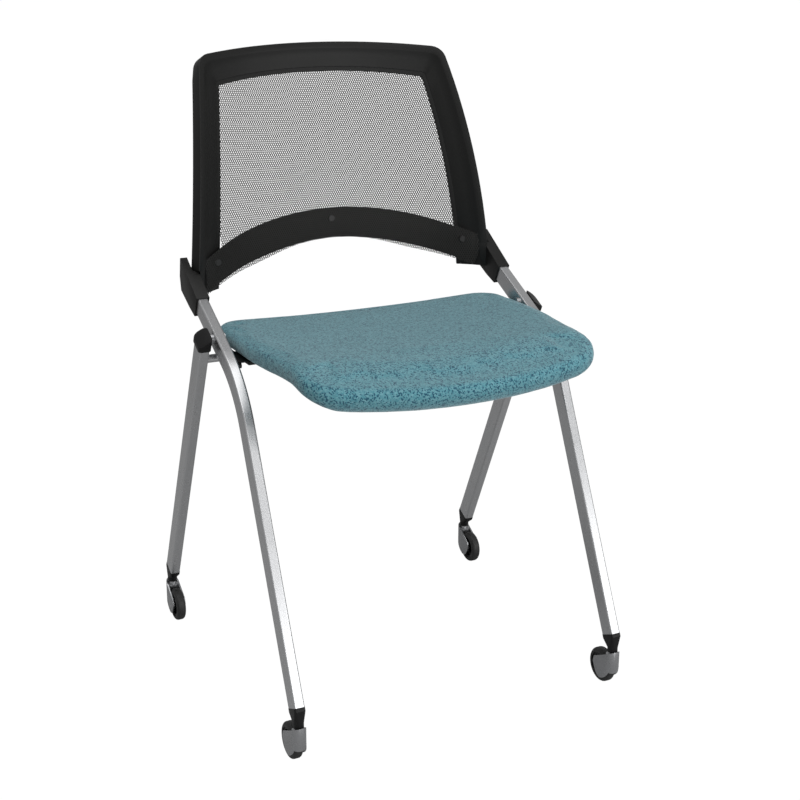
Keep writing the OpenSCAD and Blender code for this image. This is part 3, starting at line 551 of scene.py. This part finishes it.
def tuck_into_groove(piece):
    """The mesh's edge goes a little way into the frame, where a real one is clamped."""
    bpy.context.view_layer.update()
    for point in piece.data.vertices:
        _, nearest, _, _ = back_frame.closest_point_on_mesh(point.co)
        toward = nearest - point.co
        reach = toward.length
        if abs(toward.y) < reach * tuck_depth_share and reach < edge_reach:
            point.co += toward.normalized() * (reach + tuck_depth)


def make_back_mesh():
    piece = copy_of_node("mesh_panel", "back_mesh")
    keep_front_skin(piece)
    tuck_into_groove(piece)
    flat = piece.data.uv_layers.new(name="flat")
    for loop in piece.data.loops:
        flat.data[loop.index].uv = flat_place(piece.data.vertices[loop.vertex_index].co)
    set_material(piece, finish_of_slot["mesh_fabric"])
    pick(piece)
    bpy.ops.object.shade_smooth()
    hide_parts("mesh_panel")
    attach(piece, "frame")


make_back_mesh()


# Seat cushion

def cover_of_cushion():
    """The cushion's shape on an even net of small faces."""
    piece = copy_of_node("seat_cushion", "seat_cushion_cover")
    pick(piece)
    net = piece.modifiers.new("net", "REMESH")
    net.mode = "VOXEL"
    net.voxel_size = cover_net
    finish_modifier(net)
    return piece


def staple_down(piece):
    """The cover is stapled to the board, so its underside is held and its crown is free."""
    group = piece.vertex_groups.new(name="held")
    for point in piece.data.vertices:
        down = max(0.0, -point.normal.z)
        group.add([point.index], min(1.0, down / stapled_share), "REPLACE")
    return group


def fill_with_air(piece):
    cloth = piece.modifiers.new("cover cloth", "CLOTH")
    cloth.settings.vertex_group_mass = staple_down(piece).name
    for setting, value in cover_cloth.items():
        setattr(cloth.settings, setting, value)
    cloth.settings.effector_weights.gravity = 0.0
    cloth.collision_settings.use_collision = False
    cloth.collision_settings.use_self_collision = False
    cloth.point_cache.frame_start = 1
    cloth.point_cache.frame_end = cover_moments
    for moment in range(1, cover_moments + 1):
        bpy.context.scene.frame_set(moment)
    pick(piece)
    finish_modifier(cloth)
    bpy.context.scene.frame_set(1)
    piece.vertex_groups.clear()


def puff_up(piece):
    """Air pressure fills the cover as foam does. No point leaves the foam by more than a little."""
    foam = [(point.co.copy(), point.normal.copy()) for point in piece.data.vertices]
    for point, (place, normal) in zip(piece.data.vertices, foam):
        point.co = place - normal * cover_start
    fill_with_air(piece)
    for point, (place, normal) in zip(piece.data.vertices, foam):
        offset = (point.co - place).dot(normal)
        aside = point.co - place - normal * offset
        if aside.length > cover_proud:
            aside *= cover_proud / aside.length
        point.co = place + aside + normal * max(-cover_sunk, min(cover_proud, offset))


def make_cushion():
    piece = cover_of_cushion()
    puff_up(piece)
    pick(piece)
    round_off = piece.modifiers.new("round off", "SUBSURF")
    round_off.levels = round_off.render_levels = 1
    finish_modifier(round_off)
    bpy.ops.object.shade_smooth()
    set_material(piece, finish_of_slot["seat_fabric"])
    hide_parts("seat_cushion")
    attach(piece, "seat")


make_cushion()


# Studio

def show_white(nodes, links, own, white, in_metal, share, output):
    """The camera sees this share of white, also through glass, and metal a part of that share."""
    rays = nodes.new("ShaderNodeLightPath").outputs
    seen = reckon(nodes, links, "MAXIMUM", rays["Is Camera Ray"], rays["Is Transmission Ray"])
    mirrored = reckon(nodes, links, "MULTIPLY", rays["Is Glossy Ray"], in_metal)
    seen = reckon(nodes, links, "MAXIMUM", seen, mirrored)
    mix = nodes.new("ShaderNodeMixShader")
    links.new(reckon(nodes, links, "MULTIPLY", seen, share), mix.inputs[0])
    links.new(own.outputs[0], mix.inputs[1])
    links.new(white.outputs[0], mix.inputs[2])
    links.new(mix.outputs[0], output.inputs["Surface"])


def add_floor():
    nothing_selected()
    bpy.ops.mesh.primitive_plane_add(size=floor_size, location=(0, 0, 0))
    floor = bpy.context.object
    floor.name = "studio_floor"
    material, nodes, links, shader = new_finish("studio floor")
    set_plain(shader, Roughness=floor_roughness, Base_Color=floor_tone)
    glow = nodes.new("ShaderNodeEmission")
    glow.inputs["Strength"].default_value = 1 / floor_glow
    show_white(nodes, links, shader, glow, floor_in_metal, floor_glow, nodes["Material Output"])
    set_material(floor, material)


def set_world():
    world = bpy.data.worlds.new("studio")
    bpy.context.scene.world = world
    world.use_nodes = True
    nodes, links = world.node_tree.nodes, world.node_tree.links
    soft = nodes["Background"]
    white = nodes.new("ShaderNodeBackground")
    soft.inputs["Strength"].default_value = room_light
    for light in (soft, white):
        light.inputs["Color"].default_value = plain_white
    show_white(nodes, links, soft, white, backdrop_in_metal, 1.0, nodes["World Output"])


def set_up_facing(thing, place, aim):
    bpy.context.scene.collection.objects.link(thing)
    thing.location = place
    thing.rotation_mode = "QUATERNION"
    thing.rotation_quaternion = (Vector(aim) - Vector(place)).to_track_quat("-Z", "Y")


def add_soft_light(name, place, aim, width, height, watts):
    light = bpy.data.lights.new(name, "AREA")
    light.shape = "RECTANGLE"
    light.size, light.size_y = width, height
    light.energy = watts
    set_up_facing(bpy.data.objects.new(name, light), place, aim)


def add_camera():
    camera = bpy.data.cameras.new("photo camera")
    camera.sensor_fit = "HORIZONTAL"
    camera.sensor_width = film_width
    camera.lens = focal_pixels * film_width / picture_pixels
    camera.shift_x, camera.shift_y = camera_shift
    camera.clip_start, camera.clip_end = camera_reach
    holder = bpy.data.objects.new("photo camera", camera)
    set_up_facing(holder, camera_place, camera_aim)
    bpy.context.scene.camera = holder


add_floor()
set_world()
for soft_light in soft_lights:
    add_soft_light(*soft_light)
add_camera()
bpy.context.scene.view_settings.view_transform = "Standard"
